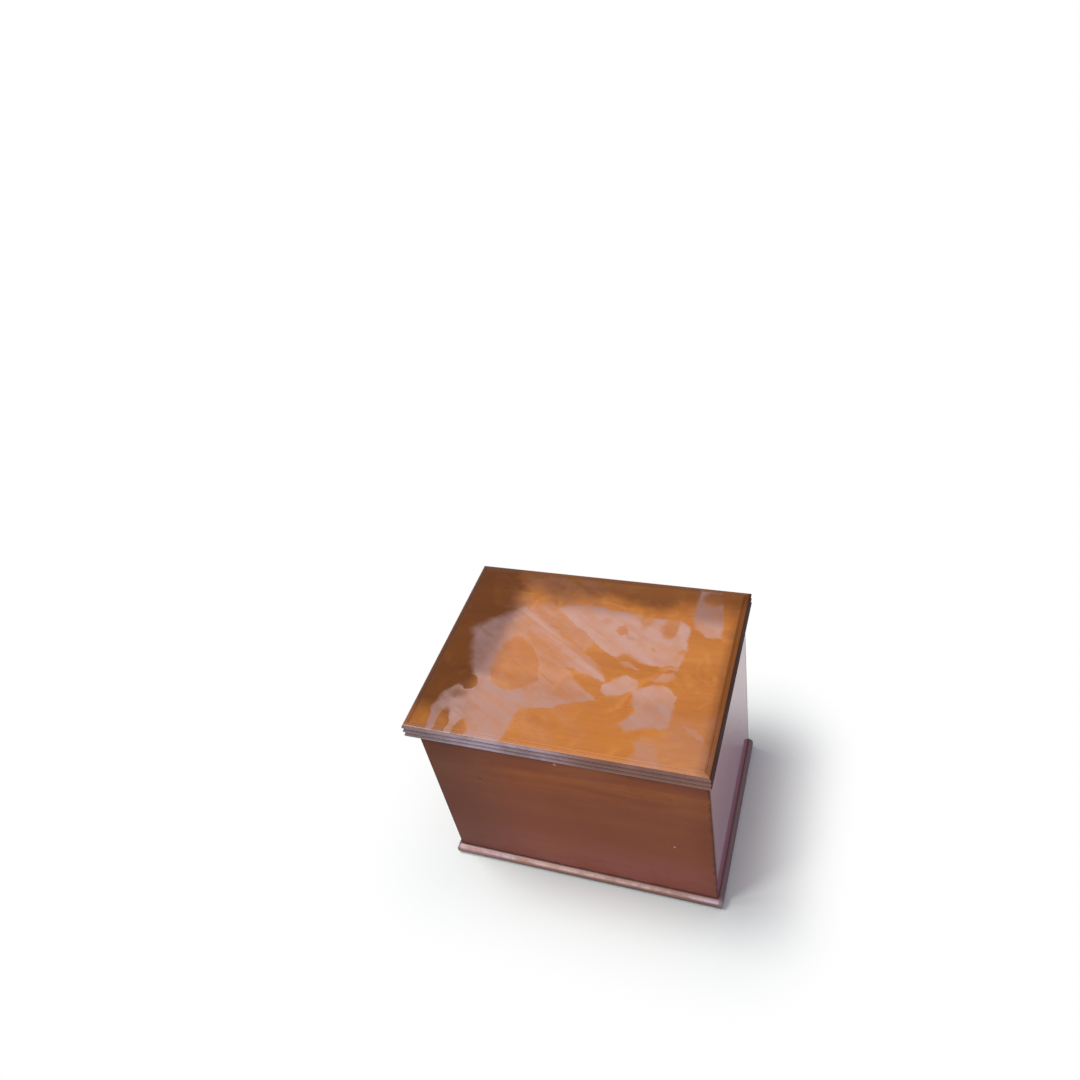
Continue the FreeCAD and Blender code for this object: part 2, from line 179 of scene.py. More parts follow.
def make_edge_wear():
    """A ragged band along the edges of a box-shaped piece, given by its middle and half sizes."""
    group, bench, came_in, goes_out = new_group(
        "edge_wear", [("Place", VECTOR), ("Middle", VECTOR), ("Half", VECTOR), ("Width", VALUE)], ["Wear"])
    offset = bench.vector("ABSOLUTE", bench.vector("SUBTRACT", came_in["Place"], came_in["Middle"]))
    x, y, z = bench.parts(bench.vector("SUBTRACT", came_in["Half"], offset))
    to_edge = bench.most(bench.least(x, y), bench.least(bench.most(x, y), z))
    ragged = bench.noise(came_in["Place"], EDGE_WAVES, detail=4, rough=0.65)
    width = bench.times(came_in["Width"], bench.ease(ragged, 0.3, 0.7, EDGE_NARROW, EDGE_WIDE))
    bench.join(bench.ease(bench.reckon("DIVIDE", to_edge, width), 0, 1, 1, 0), goes_out["Wear"])
    return group


# Scratches: the ways they run, how long and close they are, and the patches they come in
SCRATCH_TURNS = ((0.4, 0.2, 0.7), (-0.3, 0.5, -0.5))
SCRATCH_WAVES = (13, 1200, 1200)
SCRATCH_PATCHES = 17
SPECKS = 75.0


def make_scuffs():
    """Handling marks: fine scratches in two directions, and small specks."""
    group, bench, came_in, goes_out = new_group("scuffs", [("Place", VECTOR)], ["Scratches", "Specks"])
    place = came_in["Place"]
    patches = bench.ease(bench.noise(place, SCRATCH_PATCHES), 0.45, 0.6)
    lines = []
    for turn in SCRATCH_TURNS:
        lines.append(bench.ease(bench.noise(bench.turned(place, turn, SCRATCH_WAVES), 1), 0.69, 0.76))
    cells = bench.lay("ShaderNodeTexVoronoi", {"Vector": place, "Scale": SPECKS}).outputs
    chosen = bench.ease(bench.parts(cells["Color"])[0], 0.86, 0.88)
    dots = bench.ease(cells["Distance"], 0.05, 0.11, 1, 0)
    bench.join(bench.times(bench.most(*lines), patches), goes_out["Scratches"])
    bench.join(bench.times(dots, chosen), goes_out["Specks"])
    return group


# How far the skin of a surface reaches, so that a mask takes it in, and how soft the mask's border is
SKIN = 0.0005
MASK_BORDER = 0.0003


def make_within():
    """A mask of the space between two corners, for the unpolished inside."""
    group, bench, came_in, goes_out = new_group(
        "within", [("Place", VECTOR), ("Low", VECTOR), ("High", VECTOR)], ["Inside"])
    above = bench.parts(bench.vector("SUBTRACT", came_in["Place"], came_in["Low"]))
    below = bench.parts(bench.vector("SUBTRACT", came_in["High"], came_in["Place"]))
    bench.join(bench.ease(bench.least(*above, *below), 0, MASK_BORDER), goes_out["Inside"])
    return group


# The bloom in the lid's polish, laid on in this order, in mm as seen from above: how thick each patch is,
# or with a minus sign how clear it was rubbed, how far its border runs out, and its corners clockwise,
# or for a round spot its middle and radii
BLOOM = {
    "fan": (0.95, 3.0, [
        (-168, 26), (-151, 45), (-137, 58), (-118, 73), (-106, 82), (-60, 51), (-12, 17), (20, -6),
        (40, -24), (44, -40), (38, -66), (-52, -102), (-73, -106), (-126, -70), (-140, -48), (-152, -20)]),
    "hollow": (-0.66, 3.0, [
        (-104, 24), (-92, 23), (-67, 1), (-55, -22), (-46, -47), (-57, -61), (-76, -73), (-92, -69),
        (-109, -62), (-117, -43), (-119, -11), (-113, 12)]),
    "wedge": (-0.95, 2.5, [(-14, -20), (33, -33), (60, -42), (60, -60), (36, -66), (20, -55), (3, -39)]),
    "ray_gap": (-0.3, 3.0, [(-92, 34), (-86, 37), (-6, -16), (8, -28), (-6, -25), (-70, 7)]),
    "thin_fan": (-0.25, 7.0, [(-58, -8), (-20, -20), (8, -40), (26, -62), (0, -72), (-30, -66), (-44, -42)]),
    "left_front": (0.95, 2.5, [
        (-168, -98), (-160, -80), (-146, -68), (-128, -58), (-100, -64), (-58, -80), (-56, -100),
        (-60, -126), (-66, -160), (-168, -160), (-172, -121)]),
    "left_bite": (-0.95, 2.0, [(-158, -52), (-136, -56), (-127, -65), (-130, -75), (-139, -79), (-150, -72)]),
    "left_fleck": (-0.45, 3.5, (-143, -87), (12, 7)),
    "front_arch": (-0.95, 2.0, (-152, -142), (9.5, 24)),
    "front_notch": (-0.9, 2.0, (-123, -146), (10, 17)),
    "stripe_root": (0.75, 9.0, [(-112, 78), (-72, 96), (-34, 66), (-62, 46)]),
    "stripe": (0.5, 6.0, [(-98, 80), (-58, 92), (16, 36), (-2, 8)]),
    "back_right": (1.0, 2.5, [
        (-62, 84), (-44, 92), (20, 94), (118, 84), (134, 76), (136, 20), (128, 6), (90, 2), (50, 6),
        (32, 14), (6, 32), (-38, 65)]),
    "back_spot": (-0.65, 3.5, [(30, 57), (34, 64), (42, 66), (49, 58), (50, 46), (41, 47)]),
    "near_fleck": (-0.35, 3.0, (57, 43), (6, 3.5)),
    "far_fleck": (-0.3, 3.0, (14, 70), (7, 4)),
    "right_notch": (-0.7, 3.0, (107, 74), (9.5, 25)),
    "back_notch": (-0.55, 3.0, (72, 88), (9, 24)),
    "low_fleck": (-0.5, 1.5, (91, 31), (3.2, 3.8)),
    "edge_fleck": (-0.6, 2.0, (131, 30), (5, 5)),
    "edge_gap": (-0.45, 3.0, (127, 20), (6, 5)),
    "low_bite": (-0.8, 2.5, [(46, 8), (52, 15), (60, 15), (76, 6), (84, -3), (60, -4)]),
    "crescent": (0.6, 1.6, [(54, 1), (66, 0), (80, -7), (82, -11), (66, -8)]),
    "thumb": (0.65, 2.0, [(99, -22), (112, -12), (128, -3), (132, -10), (127, -20), (110, -25)]),
    "wisp": (0.5, 1.6, [(112, -2), (130, 7), (131, 3), (115, -4)]),
    "island": (0.95, 2.0, [
        (38, -42), (52, -29), (64, -24), (83, -27), (86, -45), (70, -52), (51, -58), (41, -50)]),
    "right_middle": (0.95, 2.5, [
        (80, -46), (107, -32), (123, -29), (136, -39), (140, -72), (139, -88), (95, -85)]),
    "right_front": (0.95, 3.5, [(93, -75), (139, -70), (137, -90), (115, -99), (90, -106), (75, -98)]),
    "right_corner": (0.9, 3.0, [
        (134, 146), (162, 148), (168, 124), (172, 98), (176, 66), (158, 61), (146, 70), (138, 80),
        (134, 92)]),
    "corner_spot": (-0.85, 3.0, (156, 134), (15, 13)),
    "corner_film": (0.28, 16.0, [(138, -72), (190, -72), (198, -160), (114, -160)]),
    "right_foot": (0.55, 5.0, [(100, -121), (118, -110), (130, -112), (138, -125), (140, -160), (107, -160)]),
    "stroke": (0.6, 1.5, [(155, -83), (185, -100), (183, -105), (159, -95)]),
}
# The patches that show the strokes of the cloth, and the way the cloth went over the lid
RAYED = ("fan", "stripe_root")
CLOTH_TURN = math.radians(33)
# Where the strokes start, from the left and from the front, and where the borders are softest, in mm
RAYED_X, RAYED_Y = (-122, -88), (-88, -62)
SOFT_X, SOFT_Y = (-112, -88), (-52, -34)
# How the borders wander: the size of each wave and its reach, in mm
BORDER_WAVES = ((40, 16), (14, 9), (4.5, 2.5))
MM_PER_METRE = 1000
# The widths of the strokes, fine and broad in the patches and in the haze, and the haze's own sizes, in mm
FINE_STROKE, BROAD_STROKE, HAZE_STROKE = 9, 22, 20
BLUR_SIZE, MOTTLE_SIZE = 40, 26
# How slowly a stroke changes along its length
STROKE_WAVES = 0.007


def make_polish_bloom():
    """Hazy patches with ragged borders where the lid's polish has bloomed, and how thick the haze is."""
    group, bench, came_in, goes_out = new_group("polish_bloom", [("Place", VECTOR)], ["Bloom", "Thickness"])
    flat = bench.vector("MULTIPLY", came_in["Place"], (MM_PER_METRE, MM_PER_METRE, 0))

    ragged = flat
    for size, reach in BORDER_WAVES:
        wave = bench.lay("ShaderNodeTexNoise", {"Vector": flat, "Scale": 1 / size, "Detail": 3.0})
        centred = bench.vector("SUBTRACT", wave.outputs["Color"], (0.5, 0.5, 0.5))
        ragged = bench.vector("ADD", ragged, bench.vector("MULTIPLY", centred, (reach, reach, 0)))

    def within_corners(corners):
        """How far a place is inside the sides that join the corners, in millimetres."""
        reaches = []
        for (x0, y0), (x1, y1) in zip(corners, corners[1:] + corners[:1]):
            length = math.hypot(x1 - x0, y1 - y0)
            inward = ((y1 - y0) / length, (x0 - x1) / length, 0)
            offset = inward[0] * x0 + inward[1] * y0
            reaches.append(bench.minus(bench.vector("DOT_PRODUCT", ragged, inward), offset))
        return bench.least(*reaches)

    def within_round(middle, radii):
        """How far a place is inside a round spot, in millimetres."""
        offset = bench.vector("SUBTRACT", ragged, (*middle, 0))
        share = bench.vector("LENGTH", bench.vector("DIVIDE", offset, (*radii, 1)))
        return bench.times(bench.minus(1, share), min(radii))

    def streaks(width, low, high):
        """Strokes of the cloth, of a width in millimetres."""
        turned = bench.turned(flat, (0, 0, CLOTH_TURN), (STROKE_WAVES, 1 / width, 0.1))
        return bench.ease(bench.noise(turned, 1, detail=3, rough=0.55, twist=0.5), 0.36, 0.64, low, high)

    x, y, _ = bench.parts(flat)
    softest = bench.times(bench.ease(x, *SOFT_X, 1.8, 0), bench.ease(y, *SOFT_Y))
    blur = bench.plus(bench.ease(bench.noise(flat, 1 / BLUR_SIZE), 0.35, 0.65, 0.45, 1.6), softest)
    rayed = bench.times(bench.ease(x, *RAYED_X), bench.ease(y, *RAYED_Y))
    gaps = bench.minus(1, bench.times(streaks(FINE_STROKE, 0.62, 1), streaks(BROAD_STROKE, 0.8, 1)))
    rays = bench.minus(1, bench.times(gaps, rayed))
    bloom = None
    for name, (strength, run, *shape) in BLOOM.items():
        reach = within_round(*shape) if len(shape) == 2 else within_corners(*shape)
        patch = bench.ease(bench.reckon("DIVIDE", reach, blur), -run, run, 0, abs(strength))
        if name in RAYED:
            patch = bench.times(patch, rays)
        if bloom is None:
            bloom = patch
        elif strength < 0:
            bloom = bench.times(bloom, bench.minus(1, patch))
        else:
            bloom = bench.most(bloom, patch)
    mottle = bench.ease(bench.noise(flat, 1 / MOTTLE_SIZE, detail=4, rough=0.55), 0.32, 0.68)
    bench.join(bloom, goes_out["Bloom"])
    thickness = bench.plus(mottle, streaks(HAZE_STROKE, 0, 1))
    bench.join(bench.times(thickness, 0.5), goes_out["Thickness"])
    return group


board_grain = make_board_grain()
edge_wear = make_edge_wear()
scuffs = make_scuffs()
within = make_within()
polish_bloom = make_polish_bloom()

# The inside of the carcass, where the boards were never polished
INNER_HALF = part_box("right_side")[0].x
INNER_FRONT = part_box("front_panel")[1]
INNER_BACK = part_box("back_panel")[0]
INSIDE_LOW = (-INNER_HALF - SKIN, INNER_FRONT.y - SKIN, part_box("base_board")[1].z - SKIN)
INSIDE_HIGH = (INNER_HALF + SKIN, INNER_BACK.y + SKIN, INNER_FRONT.z - SKIN)


def new_finish(name):
    """A material with one Principled shader, its bench, and the place on the piece at rest."""
    finish = bpy.data.materials.new(name)
    finish.use_nodes = True
    bench = Bench(finish.node_tree)
    shader = finish.node_tree.nodes["Principled BSDF"]
    place = bench.lay("ShaderNodeTexCoord").outputs["Object"]
    return finish, bench, shader, place


def set_plain(shader, values):
    """Values that are the same all over a piece."""
    for socket, value in values.items():
        shader.inputs[socket].default_value = value


def along_grain(bench, place, order):
    """The place with the board's length first."""
    x, y, z = bench.parts(place)
    axes = {"x": x, "y": y, "z": z}
    return bench.lay("ShaderNodeCombineXYZ", {i: axes[axis] for i, axis in enumerate(order)}).outputs[0]


def worn_edges(bench, place, node, width):
    """The wear along the edges of one piece."""
    low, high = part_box(node)
    takes = {"Place": place, "Middle": (low + high) / 2, "Half": (high - low) / 2, "Width": width}
    return bench.effect(edge_wear, takes)["Wear"]


def unpolished(bench, place):
    """1 inside the carcass."""
    return bench.effect(within, {"Place": place, "Low": INSIDE_LOW, "High": INSIDE_HIGH})["Inside"]


def relief(bench, shader, height, depth):
    """Raise and sink the surface by a height from 0 to 1 over a depth in metres."""
    bump = bench.lay("ShaderNodeBump", {"Height": height, "Distance": depth, "Strength": 1.0})
    bench.join(bump.outputs[0], shader.inputs["Normal"])


# How much the streaks of the grain darken the wood, and how high they stand beside the pores
STREAK_SHADE = 0.35
STREAK_HEIGHT = 0.3
# How deep the grain is, in metres
BOARD_RELIEF = 0.00004
LID_RELIEF = 0.00003
PINE_RELIEF = 0.00012
METAL_RELIEF = 0.00002
# Waves in a metre of what lies over the grain
CLOUD_WAVES = 9
BLOTCH_WAVES = 24
SWIRL_WAVES = 16
REED_RUB_WAVES = 24
BEAD_RUB_WAVES = 30
DUST_WAVES = 28
# How much old polish shines where no varnish lies over it
OLD_SHINE = 0.12


def dressed_wood(bench, place, order, seed, wood, pore_depth=0.55):
    """The colour and the relief of a planed board, before its polish."""
    light, deep, pore = wood
    grain = bench.effect(board_grain, {"Along": along_grain(bench, place, order), "Seed": seed})
    colour = bench.blend(grain["Figure"], deep, light)
    colour = bench.blend(bench.times(grain["Streaks"], STREAK_SHADE), colour, deep)
    colour = bench.blend(bench.times(grain["Pores"], pore_depth), colour, pore)
    return colour, bench.minus(bench.times(grain["Streaks"], STREAK_HEIGHT), grain["Pores"])


# Red-brown mahogany, and the same wood where it was left dry: light, deep and in the pores
RED_DEEP = paint(150, 77, 41)
RED_PORE = paint(70, 34, 26)
RED_WOOD = (paint(184, 107, 53), RED_DEEP, RED_PORE)
DRY_DEEP = paint(140, 90, 60)
DRY_WOOD = (paint(176, 122, 84), DRY_DEEP, RED_PORE)
# A mauve tint, painted reflection of the floor towards the foot of the boards
RED_MAUVE = paint(164, 97, 90)
# The tint of painted shade at the ends of the boards
DUSK_TINT = (0.54, 0.5, 0.48, 1.0)
DUST_MAUVE = paint(206, 150, 200)
# Dark dirt, which also serves as painted shade
DIRT_AND_SHADE = paint(58, 32, 26)
PALE_WEAR = paint(224, 182, 172)

# The boards of the carcass: the way of the grain, how thick the varnish is, how rough the polish, how dark
# the painted shade at the ends, how dusty the polish and how dark the painted shade under the lid's rim
BOARDS = {
    "front_panel": dict(order="xyz", seed=1.0, varnish=0.0, gloss=0.34, dusk=0.9, dust=0.0, lid_rim_shade=0.6),
    "back_panel": dict(order="xyz", seed=2.0, varnish=0.0, gloss=0.36, dusk=0.0, dust=0.0, lid_rim_shade=0.4),
    "left_side": dict(order="yxz", seed=3.0, varnish=0.4, gloss=0.2, dusk=0.0, dust=0.0, lid_rim_shade=0.2),
    "right_side": dict(order="yxz", seed=4.0, varnish=1.0, gloss=0.1, dusk=0.0, dust=0.62, lid_rim_shade=0.0),
}
# Heights and reaches on them
ARRIS_DARK_WIDTH = 0.005
UNTINTED_TOP = 0.05
MAUVE_FOOT = 0.07
WAIST_LOW, WAIST_HIGH = (0.04, 0.13), (0.16, 0.25)
DUSK_LEFT, DUSK_RIGHT = 0.16, 0.04
RIM_LOW, RIM_HIGH, RIM_WANDER = 0.035, 0.016, 0.03
# Small knocks in the front board: place, size and colour
FRONT_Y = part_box("front_panel")[0].y
NICKS = {"front_panel": [
    ((-0.004, FRONT_Y, 0.274), 0.003, PALE_WEAR),
    ((0.142, FRONT_Y, 0.131), 0.0025, PALE_WEAR),
    ((-0.123, FRONT_Y, 0.208), 0.003, RED_PORE),
]}


def board_finish(node, order, seed, varnish, gloss, dusk, dust, lid_rim_shade):
    """Red-brown polished mahogany outside, dry inside, with dirt and painted shade along its arrises, painted
    shade at its ends and under the lid, and a painted floor reflection in mauve towards its foot.
    """
    finish, bench, shader, place = new_finish(f"{node}_polish")
    colour, height = dressed_wood(bench, place, order, seed, RED_WOOD)
    dry, _ = dressed_wood(bench, place, order, seed + 5, DRY_WOOD)
    low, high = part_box(node)
    across, _, rise = bench.parts(place)
    cloud = bench.noise(place, CLOUD_WAVES, detail=3, rough=0.55)
    # Painted reflection of the floor: a mauve tint that grows towards the foot
    foot = bench.times(bench.ease(rise, low.z, high.z - UNTINTED_TOP, 0.85, 0), bench.ease(cloud, 0.3, 0.6))
    lowest = bench.ease(rise, low.z, low.z + MAUVE_FOOT, 0.9, 0)
    colour = bench.blend(bench.most(foot, lowest), colour, RED_MAUVE)
    blotch = bench.noise(place, BLOTCH_WAVES, detail=4, rough=0.6, twist=0.5)
    blotch = bench.ease(blotch, 0.4, 0.7, 0, 0.4)
    waist = bench.times(bench.ease(rise, *WAIST_LOW), bench.ease(rise, *WAIST_HIGH, 0.7, 0))
    colour = bench.blend(bench.most(blotch, waist), colour, RED_DEEP)
    # Painted shade darkening the left end of the front board, and less its right end
    colour = bench.tone(bench.ease(across, low.x, low.x + DUSK_LEFT, dusk, 0), colour, DUSK_TINT)
    colour = bench.tone(bench.ease(across, high.x - DUSK_RIGHT, high.x, 0, 0.35 * dusk), colour, DUSK_TINT)
    # Dirt and painted shade along the arrises and where the board meets the base and the lid
    edge_dirt_and_shade = worn_edges(bench, place, node, ARRIS_DARK_WIDTH)
    colour = bench.blend(bench.times(edge_dirt_and_shade, 0.65), colour, DIRT_AND_SHADE)
    # Painted shade under the lid's overhang, along the top of the board
    uneven = bench.plus(rise, bench.times(bench.minus(cloud, 0.5), RIM_WANDER))
    colour = bench.blend(bench.ease(uneven, high.z - RIM_LOW, high.z - RIM_HIGH, 0, lid_rim_shade), colour, DIRT_AND_SHADE)
    for spot, reach, shade in NICKS.get(node, []):
        away = bench.vector("LENGTH", bench.vector("SUBTRACT", place, spot))
        colour = bench.blend(bench.ease(away, 0.4 * reach, reach, 0.8, 0), colour, shade)
    marks = bench.effect(scuffs, {"Place": place})
    colour = bench.blend(bench.times(marks["Scratches"], 0.12), colour, PALE_WEAR)
    colour = bench.blend(bench.times(marks["Specks"], 0.5), colour, DIRT_AND_SHADE)
    inside = unpolished(bench, place)
    bench.join(bench.blend(inside, colour, dry), shader.inputs["Base Color"])
    dull = bench.ease(cloud, 0.3, 0.7, gloss, gloss + 0.12)
    bench.join(bench.plus(dull, bench.times(inside, 0.4), clamp=True), shader.inputs["Roughness"])
    bench.join(bench.times(bench.minus(1, inside), varnish), shader.inputs["Coat Weight"])
    set_plain(shader, {"Specular IOR Level": OLD_SHINE * (1 - varnish), "Coat Roughness": 0.03,
                       "Sheen Weight": dust, "Sheen Roughness": 0.3, "Sheen Tint": DUST_MAUVE})
    relief(bench, shader, bench.minus(height, marks["Scratches"]), BOARD_RELIEF)
    return finish


# Orange-brown mahogany of the lid, darkened by painted shade and some age, and the bloom in its polish
LID_WOOD = (paint(204, 129, 58), paint(184, 111, 50), paint(120, 64, 26))
LID_GOLD = paint(220, 148, 72)
# Dark dirt of the lid, which also serves as painted shade on the mouldings
LID_DIRT_AND_SHADE = paint(104, 56, 26)
# The tint of painted shade and some age
SHADE_AND_AGE_TINT = (0.26, 0.22, 0.16, 1.0)
HAZE = paint(202, 159, 145)
# The tint of painted shade over the bloom
HAZE_SHADE_TINT = (0.5, 0.5, 0.56, 1.0)

# How far in from the lid's left, back and right edges the wood is dark, and where its left is paler in front
DARK_LEFT, DARK_BACK, DARK_RIGHT = (0.05, 0.095), (0.065, 0.01), (0.014, -0.001)
PALER_FRONT = (-0.137, -0.1)
# How the dark borders wander: waves in a metre, how far in front and at the back, and where that changes
DARKENING_WAVES = 12
WANDER_FRONT, WANDER_BACK = 0.04, 0.09
WANDER_CHANGE = (0.05, 0.1)


def lid_shade_and_age(bench, place):
    """How far the lid is darkened by painted shade and some age: most at its left and back, and along its
    right edge.
    """
    x, y, _ = bench.parts(place)
    low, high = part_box("lid_panel")
    shift = bench.wander(place, DARKENING_WAVES, bench.ease(y, *WANDER_CHANGE, WANDER_FRONT, WANDER_BACK))
    left = bench.ease(bench.plus(x, shift), low.x + DARK_LEFT[0], low.x + DARK_LEFT[1], 1, 0)
    left = bench.times(left, bench.ease(y, *PALER_FRONT, 0.5, 1))
    back = bench.ease(bench.plus(y, shift), high.y - DARK_BACK[0], high.y - DARK_BACK[1], 0, 0.8)
    right = bench.ease(x, high.x - DARK_RIGHT[0], high.x - DARK_RIGHT[1], 0, 0.5)
    return bench.most(left, back, right)


# Where painted shade darkens the bloom: the border of its front left quarter, the left behind it, the quarter
# itself, the quarter's corner, and the back
QUARTER_BEHIND = (-0.068, -0.04)
VEIL_LEFT, VEIL_QUARTER, VEIL_CORNER = (-0.132, -0.09), (-0.08, -0.03), (-0.17, -0.135)
VEIL_BACK = (0.072, 0.104)
VEIL_WAVES, VEIL_WANDER = 20, 0.04


def veil_shade(bench, place):
    """How far painted shade darkens the bloom itself: behind the front left quarter, less in it, and along
    the back.
    """
    x, y, _ = bench.parts(place)
    behind = bench.ease(y, *QUARTER_BEHIND)
    uneven = bench.plus(x, bench.wander(place, VEIL_WAVES, VEIL_WANDER))
    left = bench.times(bench.ease(uneven, *VEIL_LEFT, 1, 0), behind)
    quarter = bench.most(bench.ease(x, *VEIL_QUARTER, 0.4, 0), bench.ease(x, *VEIL_CORNER, 0.85, 0.4))
    quarter = bench.times(quarter, bench.minus(1, behind))
    return bench.most(left, quarter, bench.ease(y, *VEIL_BACK, 0, 0.9))


def bloom_over(bench, place):
    """The bloom's own sockets, how much of the wood it covers, and its colour."""
    haze = bench.effect(polish_bloom, {"Place": place})
    cover = bench.times(haze["Bloom"], bench.ease(haze["Thickness"], 0, 1, 0.6, 1))
    veil = bench.tone(veil_shade(bench, place), HAZE, HAZE_SHADE_TINT)
    return haze, cover, veil


# A thin film of haze over the middle of the lid: where it starts on the left and thins out to the right
FILM_LEFT, FILM_RIGHT = (-0.15, -0.1), (-0.04, 0.06)


def lid_finish():
    """Orange-brown polished mahogany with patches of pale bloom, painted shade along its left, back and
    right, and a dull underside.
    """
    finish, bench, shader, place = new_finish("lid_polish")
    low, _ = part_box("lid_panel")
    x, _, z = bench.parts(place)
    colour, height = dressed_wood(bench, place, "xyz", 11.0, LID_WOOD, pore_depth=0.25)
    dry, _ = dressed_wood(bench, place, "xyz", 12.0, DRY_WOOD)
    swirl = bench.noise(place, SWIRL_WAVES, detail=3, rough=0.6, twist=1.6)
    colour = bench.blend(bench.ease(swirl, 0.48, 0.72, 0, 0.45), colour, LID_GOLD)
    # Painted shade, with some age, over the lid's left, back and right edge
    colour = bench.tone(lid_shade_and_age(bench, place), colour, SHADE_AND_AGE_TINT)
    haze, cover, veil = bloom_over(bench, place)
    over_middle = bench.times(bench.ease(x, *FILM_LEFT), bench.ease(x, *FILM_RIGHT, 0.26, 0.05))
    film = bench.times(over_middle, haze["Thickness"])
    colour = bench.blend(bench.most(cover, film), colour, veil)
    marks = bench.effect(scuffs, {"Place": place})
    colour = bench.blend(bench.times(marks["Scratches"], 0.15), colour, veil)
    colour = bench.blend(bench.times(marks["Specks"], 0.3), colour, LID_DIRT_AND_SHADE)
    under = bench.ease(z, low.z + SKIN, low.z + 2 * SKIN, 1, 0)
    bench.join(bench.blend(under, colour, dry), shader.inputs["Base Color"])
    gloss = bench.plus(0.26, bench.times(haze["Bloom"], 0.2))
    bench.join(bench.plus(gloss, bench.times(under, 0.4), clamp=True), shader.inputs["Roughness"])
    set_plain(shader, {"Specular IOR Level": OLD_SHINE})
    relief(bench, shader, bench.minus(height, marks["Scratches"]), LID_RELIEF)
    return finish


# The reeds' wood, and the pale and the brown of painted highlight and wear on their crests
REED_WOOD = (paint(128, 80, 60), paint(92, 54, 44), RED_PORE)
REED_WEAR_AND_HIGHLIGHT = paint(196, 176, 190)
REED_BROWN = paint(152, 102, 88)

# The mouldings of the lid: the way of the grain, the axis that the reeds face, and how far they are rubbed
# and lit, where a low value paints them in shade
MOULDINGS = {
    "lid_moulding_front": dict(order="xyz", seed=31.0, toward=1, rub_and_light=1.0),
    "lid_moulding_back": dict(order="xyz", seed=32.0, toward=1, rub_and_light=0.5),
    "lid_moulding_left": dict(order="yxz", seed=33.0, toward=0, rub_and_light=0.4),
    "lid_moulding_right": dict(order="yxz", seed=34.0, toward=0, rub_and_light=0.1),
}
# How far in from the lid's outline the crests of the reeds and the top arris lie, and the skin of the top
CREST_IN, CREST_OUT = 0.0024, 0.0002
ARRIS_IN, ARRIS_OUT = 0.0032, 0.0012
TOP_SKIN = (0.0006, 0.0002)
# Where the painted highlight and wear on the crests turn from pale to brown, and where they fade on the left
REED_TURN, REED_FADE_LEFT = (-0.03, 0.06), (-0.18, -0.11)


def reeded_finish(node, order, seed, toward, rub_and_light):
    """The lid's reeded edge, its crests rubbed pale and painted with highlight, in painted shade where it
    faces away from the light, with the lid's own polish on its flat top.
    """
    finish, bench, shader, place = new_finish(f"{node}_polish")
    top_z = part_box("lid_panel")[1].z
    edge = max(abs(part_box("lid_moulding_left")[0][toward]), abs(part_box("lid_moulding_right")[1][toward]))
    away = bench.parts(place)
    outward = bench.reckon("ABSOLUTE", away[toward])
    rubbed = bench.noise(along_grain(bench, place, order), REED_RUB_WAVES, detail=4, rough=0.65)
    colour, height = dressed_wood(bench, place, order, seed, REED_WOOD)
    # Painted highlight on the crests of the reeds, rubbed uneven like wear
    crest = bench.ease(outward, edge - CREST_IN, edge - CREST_OUT)
    wear_and_highlight = bench.times(crest, bench.ease(rubbed, 0.25, 0.65, 0.4 * rub_and_light, rub_and_light))
    wear_and_highlight = bench.times(wear_and_highlight, bench.ease(away[0], *REED_FADE_LEFT, 0.4, 1))
    wear_and_highlight_colour = bench.blend(bench.ease(away[0], *REED_TURN), REED_WEAR_AND_HIGHLIGHT, REED_BROWN)
    colour = bench.blend(wear_and_highlight, colour, wear_and_highlight_colour)
    # Painted shade on the reeds that face away from the light
    colour = bench.blend(0.9 * (1 - rub_and_light), colour, DIRT_AND_SHADE)
    top, _ = dressed_wood(bench, place, order, seed + 3, LID_WOOD)
    # Painted shade on the flat tops of the mouldings that face away from the light
    top = bench.blend(0.45 * (1 - rub_and_light), top, LID_DIRT_AND_SHADE)
    top = bench.tone(lid_shade_and_age(bench, place), top, SHADE_AND_AGE_TINT)
    _, cover, veil = bloom_over(bench, place)
    top = bench.blend(cover, top, veil)
    arris = bench.ease(outward, edge - ARRIS_IN, edge - ARRIS_OUT, 0, 0.7 * rub_and_light)
    top = bench.blend(bench.times(arris, bench.ease(rubbed, 0.35, 0.6, 0.3, 1)), top, HAZE)
    flat_top = bench.ease(away[2], top_z - TOP_SKIN[0], top_z - TOP_SKIN[1])
    bench.join(bench.blend(flat_top, colour, top), shader.inputs["Base Color"])
    dull = 0.4 * (1 - rub_and_light)
    bench.join(bench.ease(rubbed, 0.3, 0.7, 0.2 + dull, 0.34 + dull), shader.inputs["Roughness"])
    set_plain(shader, {"Specular IOR Level": 0.1 + 0.4 * rub_and_light})
    relief(bench, shader, height, BOARD_RELIEF)
    return finish


# The painted highlight on the bead, lavender towards its ends, and the painted shade on the base's right end
BEAD_HIGHLIGHT = paint(248, 222, 216)
BEAD_END_HIGHLIGHT = paint(236, 218, 240)
BASE_END_SHADE = paint(134, 104, 114)

# Heights on the base board's round edge: where the painted highlight starts, where it ends, and the foot in
# painted contact shadow
BEAD_LOW, BEAD_HIGH, BEAD_FOOT = (0.0105, 0.0142), (0.0145, 0.0168), (0.006, 0.011)
# How far in from its front, from the front board and from its ends the painted highlight, the grime and the
# painted shade reach
BEAD_IN, CORNER_IN, END_IN = (0.004, 0.012), (0.0026, 0.001), (0.004, 0.007)
UNDERSIDE = (0.0001, 0.0003)
# Where the painted highlight on the bead is palest, towards the left and the right
PALE_LEFT, PALE_RIGHT = (-0.13, -0.07), (0.15, 0.19)


